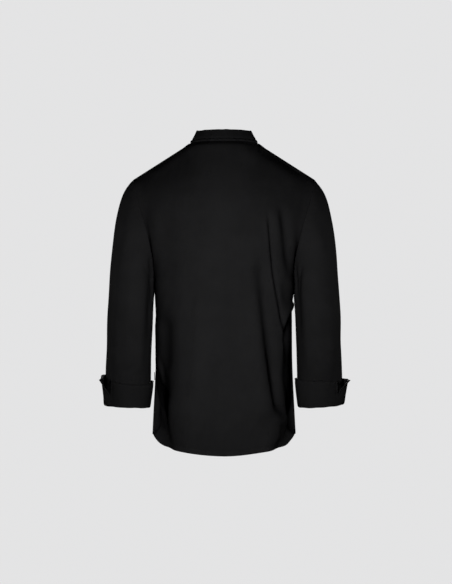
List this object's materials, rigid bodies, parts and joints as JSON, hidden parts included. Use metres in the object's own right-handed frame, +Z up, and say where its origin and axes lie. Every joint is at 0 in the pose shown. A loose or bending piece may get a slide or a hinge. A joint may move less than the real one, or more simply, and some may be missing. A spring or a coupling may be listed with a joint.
{
  "type": "chef jacket",
  "caption": "Hollow long-sleeved kitchen jacket in worn shape, with a stand-up collar, lapped buttoned front, turned-back split cuffs and a rounded hem.",
  "frame": {"origin": "middle of the neck opening, level with the side neck points", "axes": "+Z up the wearer's body, -Y out of the wearer's chest, +X to the wearer's left"},
  "size_m": [0.6255, 0.2612, 0.8003],
  "materials": {
    "black_twill": "matt pressed poly-cotton twill",
    "collar_twill": "matt twill, stiffened and edge-stitched",
    "button_plastic": "satin black moulded plastic",
    "tab_tape": "matt woven tape"
  },
  "bodies": {
    "root": {"back": "black_twill", "front_left": "black_twill", "front_right": "black_twill", "sleeve_left": "black_twill", "sleeve_right": "black_twill", "cuff_left": "black_twill", "cuff_right": "black_twill", "collar": "collar_twill", "side_tab": "tab_tape", "button_1_left": "button_plastic", "button_1_right": "button_plastic", "button_2_left": "button_plastic", "button_2_right": "button_plastic", "button_3_left": "button_plastic", "button_3_right": "button_plastic", "button_4_left": "button_plastic", "button_4_right": "button_plastic", "button_5_left": "button_plastic", "button_5_right": "button_plastic"}
  },
  "joints": []
}
